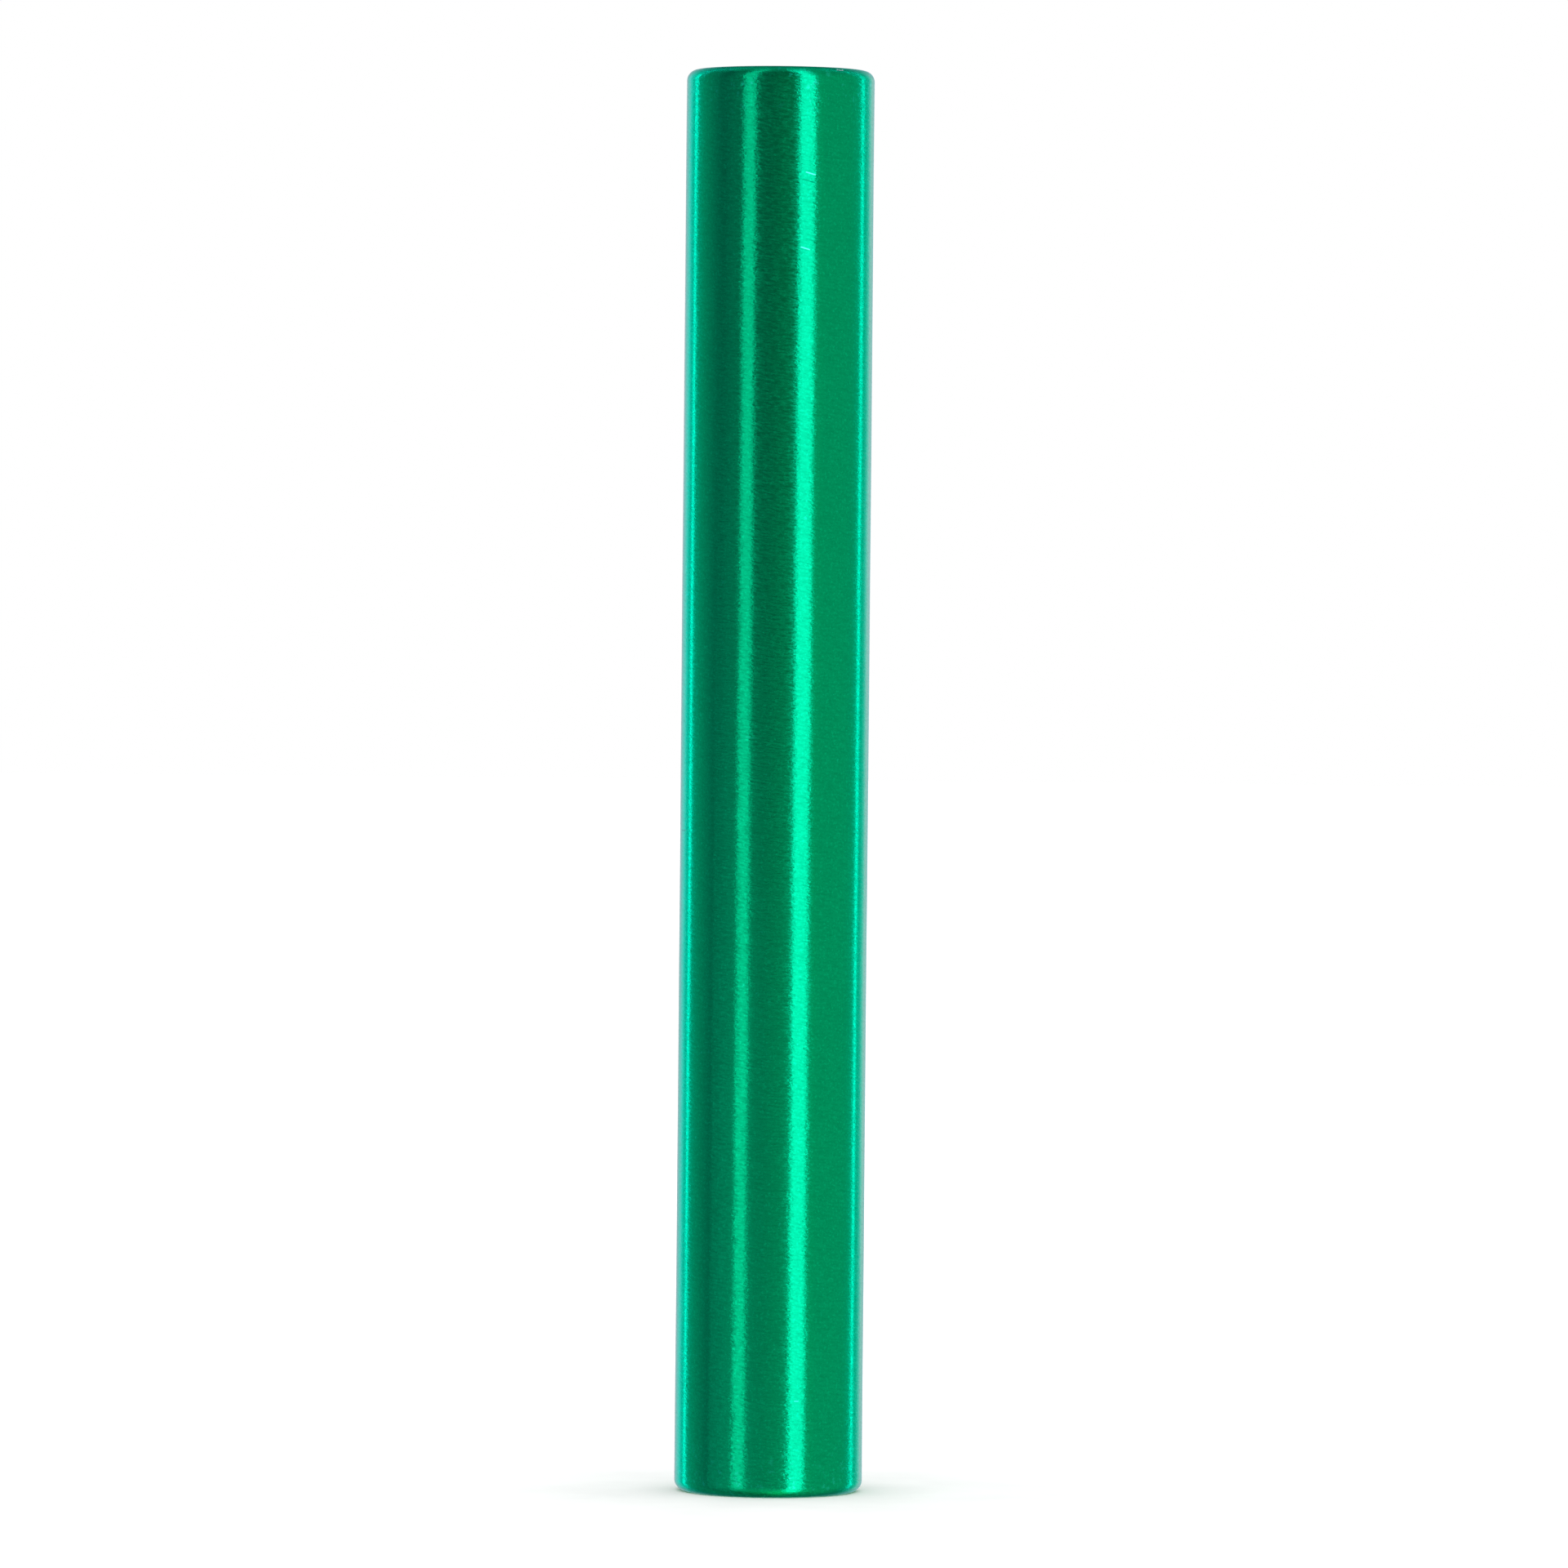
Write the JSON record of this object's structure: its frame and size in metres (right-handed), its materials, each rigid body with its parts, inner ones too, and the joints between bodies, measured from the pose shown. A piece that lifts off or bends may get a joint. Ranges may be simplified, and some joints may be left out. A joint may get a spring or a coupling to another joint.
{
  "type": "relay baton",
  "caption": "Hollow aluminium relay baton: a smooth round tube in one piece, with both ends rolled inwards, brushed round its length and anodised green.",
  "frame": {"origin": "centre of the flat ring at the very end of the lower rim, on which the baton stands", "axes": "+Z along the tube's axis, from the lower rim to the upper one; the tube is round, so X and Y are any two directions across it"},
  "size_m": [0.038, 0.038, 0.287],
  "materials": {
    "anodised_aluminium": "brushed round the tube and anodised a bright, clear green, satin sheen"
  },
  "bodies": {
    "root": {"baton_tube": "anodised_aluminium"}
  },
  "joints": []
}
